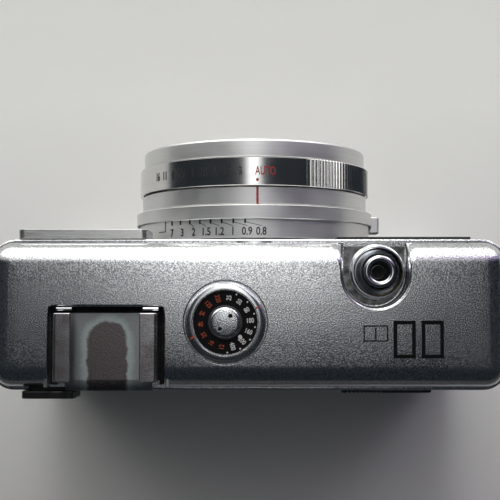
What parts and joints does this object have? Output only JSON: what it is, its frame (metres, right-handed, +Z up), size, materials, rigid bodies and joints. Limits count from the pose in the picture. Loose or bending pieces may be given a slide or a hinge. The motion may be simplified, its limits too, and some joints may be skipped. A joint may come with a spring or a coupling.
{
  "type": "half frame camera",
  "caption": "Compact 35 mm viewfinder camera with a fast fixed lens, photocell ring, top dial, accessory shoe, hinged back and thumb advance lever.",
  "frame": {"origin": "middle of the body's footprint, on its base", "axes": "+Z up, lens looks along -Y, +X towards the accessory shoe's end"},
  "size_m": [0.1174, 0.0569, 0.0733],
  "materials": {
    "satin_chrome": "blasted satin chrome",
    "bright_chrome": "polished chrome",
    "aluminium": "turned satin aluminium",
    "steel": "brushed steel",
    "brass": "turned brass",
    "black_paint": "satin black paint",
    "black_steel": "blackened steel",
    "black_plastic": "polished black plastic",
    "leatherette": "pebbled black leatherette",
    "glass": "coated glass",
    "casting": "die-cast alloy with matt black paint"
  },
  "bodies": {
    "camera_body": {"top_cover": "satin_chrome", "bottom_cover": "satin_chrome", "reminder_nut": "satin_chrome", "strap_lug_right": "bright_chrome", "strap_lug_left": "bright_chrome", "accessory_shoe": "bright_chrome", "release_collar": "bright_chrome", "lens_base_plate": "bright_chrome", "finder_bezel": "aluminium", "lens_barrel": "aluminium", "front_ring": "aluminium", "release_spring": "steel", "hinge_pin": "steel", "tripod_bush": "steel", "base_screw_1": "steel", "base_screw_2": "steel", "release_guide": "brass", "main_casting": "casting", "finder_block": "black_paint", "nameplate": "black_paint", "reminder_disc": "black_paint", "name_ring": "black_paint", "meter_movement": "black_steel", "shutter_cover": "black_steel", "photocell": "black_steel", "eyepiece_frame": "black_plastic", "leather_right": "leatherette", "leather_left": "leatherette", "frame_window": "glass", "finder_window": "glass", "eyepiece_lens": "glass", "counter_window": "glass", "photocell_window": "glass", "front_element": "glass", "rear_element": "glass"},
    "reminder_ring": {"reminder_ring": "bright_chrome"},
    "shutter_button": {"shutter_button": "bright_chrome"},
    "blade_1": {"shutter_blade_1": "black_steel"},
    "blade_2": {"shutter_blade_2": "black_steel"},
    "blade_3": {"shutter_blade_3": "black_steel"},
    "blade_4": {"shutter_blade_4": "black_steel"},
    "blade_5": {"shutter_blade_5": "black_steel"},
    "focus_ring": {"focus_ring": "aluminium"},
    "aperture_ring": {"aperture_ring": "aluminium"},
    "film_speed_ring": {"film_speed_ring": "black_paint"},
    "advance_lever": {"advance_lever": "bright_chrome", "lever_grip": "black_plastic"},
    "take_up_spool": {"take_up_spool": "black_plastic"},
    "sprocket": {"sprocket": "steel"},
    "counter_disc": {"counter_disc": "black_paint"},
    "rear_door": {"rear_door": "black_paint", "door_leather": "leatherette", "pressure_plate": "black_steel", "pressure_spring": "steel"},
    "door_latch": {"door_latch": "bright_chrome"},
    "rewind_sleeve": {"rewind_sleeve": "brass"},
    "rewind_spindle": {"rewind_spindle": "bright_chrome"},
    "rewind_crank": {"rewind_crank": "bright_chrome"},
    "crank_knob": {"crank_knob": "black_plastic"},
    "rewind_button": {"rewind_button": "bright_chrome"}
  },
  "joints": [
    {"name": "reminder_turn", "type": "hinge", "parent": "camera_body", "child": "reminder_ring", "pos_m": [0.0048, 0.00165, 0.07], "axis": [0, 0, 1], "continuous": true},
    {"name": "release_press", "type": "slide", "parent": "camera_body", "child": "shutter_button", "axis": [0, 0, -1], "range_m": [0, 0.0018], "stiffness_N_per_m": 300, "springref_m": -0.002, "deforming": ["release_spring"]},
    {"name": "blade_1_swing", "type": "hinge", "parent": "camera_body", "child": "blade_1", "pos_m": [0.01275, -0.023, 0.035], "axis": [0, -1, 0], "range_deg": [0, 60]},
    {"name": "blade_2_swing", "type": "hinge", "parent": "camera_body", "child": "blade_2", "pos_m": [0.00308, -0.023, 0.04831], "axis": [0, -1, 0], "range_deg": [0, 60]},
    {"name": "blade_3_swing", "type": "hinge", "parent": "camera_body", "child": "blade_3", "pos_m": [-0.01258, -0.023, 0.04323], "axis": [0, -1, 0], "range_deg": [0, 60]},
    {"name": "blade_4_swing", "type": "hinge", "parent": "camera_body", "child": "blade_4", "pos_m": [-0.01258, -0.023, 0.02677], "axis": [0, -1, 0], "range_deg": [0, 60]},
    {"name": "blade_5_swing", "type": "hinge", "parent": "camera_body", "child": "blade_5", "pos_m": [0.00308, -0.023, 0.02168], "axis": [0, -1, 0], "range_deg": [0, 60]},
    {"name": "focus_turn", "type": "hinge", "parent": "camera_body", "child": "focus_ring", "pos_m": [-0.00125, 0, 0.035], "axis": [0, -1, 0], "range_deg": [0, 60]},
    {"name": "aperture_turn", "type": "hinge", "parent": "camera_body", "child": "aperture_ring", "pos_m": [-0.00125, 0, 0.035], "axis": [0, -1, 0], "range_deg": [0, 61]},
    {"name": "film_speed_turn", "type": "hinge", "parent": "camera_body", "child": "film_speed_ring", "pos_m": [-0.00125, 0, 0.035], "axis": [0, -1, 0], "range_deg": [0, 150]},
    {"name": "lever_swing", "type": "hinge", "parent": "camera_body", "child": "advance_lever", "pos_m": [-0.045, 0.006, 0.06], "axis": [0, 0, 1], "range_deg": [0, 105], "stiffness_Nm_per_rad": 0.01, "springref_deg": -28.65},
    {"name": "spool_turn", "type": "hinge", "parent": "camera_body", "child": "take_up_spool", "pos_m": [-0.042, -0.0015, 0.035], "axis": [0, 0, 1], "range_deg": [0, 146]},
    {"name": "sprocket_turn", "type": "hinge", "parent": "camera_body", "child": "sprocket", "pos_m": [-0.0235, 0.0036, 0.035], "axis": [0, 0, 1], "range_deg": [0, 181]},
    {"name": "counter_turn", "type": "hinge", "parent": "camera_body", "child": "counter_disc", "pos_m": [-0.042, -0.002, 0.003], "axis": [0, 0, 1], "range_deg": [0, 5.1]},
    {"name": "door_swing", "type": "hinge", "parent": "camera_body", "child": "rear_door", "pos_m": [-0.0563, 0.0106, 0.0335], "axis": [0, 0, 1], "range_deg": [0, 115]},
    {"name": "latch_slide", "type": "slide", "parent": "camera_body", "child": "door_latch", "axis": [0, 0, -1], "range_m": [0, 0.003], "stiffness_N_per_m": 300, "springref_m": -0.002},
    {"name": "rewind_pull", "type": "slide", "parent": "camera_body", "child": "rewind_sleeve", "axis": [0, 0, -1], "range_m": [0, 0.008]},
    {"name": "rewind_turn", "type": "hinge", "parent": "rewind_sleeve", "child": "rewind_spindle", "pos_m": [0.03985, -0.0005, 0.008], "axis": [0, 0, 1], "continuous": true},
    {"name": "crank_fold", "type": "hinge", "parent": "rewind_spindle", "child": "rewind_crank", "pos_m": [0.03685, -0.0005, 0.0012], "axis": [0, 1, 0], "range_deg": [0, 130]},
    {"name": "knob_spin", "type": "hinge", "parent": "rewind_crank", "child": "crank_knob", "pos_m": [0.04605, -0.0005, 0.003], "axis": [0, 0, 1], "continuous": true},
    {"name": "rewind_button_press", "type": "slide", "parent": "camera_body", "child": "rewind_button", "axis": [0, 0, 1], "range_m": [0, 0.001], "stiffness_N_per_m": 300, "springref_m": -0.001}
  ],
  "couplings": [
    {"joint": "blade_1_swing", "follows": "release_press", "rad_per_m": 580.81},
    {"joint": "blade_2_swing", "follows": "release_press", "rad_per_m": 580.81},
    {"joint": "blade_3_swing", "follows": "release_press", "rad_per_m": 580.81},
    {"joint": "blade_4_swing", "follows": "release_press", "rad_per_m": 580.81},
    {"joint": "blade_5_swing", "follows": "release_press", "rad_per_m": 580.81},
    {"joint": "spool_turn", "follows": "lever_swing", "ratio": 1.381},
    {"joint": "sprocket_turn", "follows": "lever_swing", "ratio": 1.7143},
    {"joint": "counter_turn", "follows": "lever_swing", "ratio": 0.047619}
  ]
}
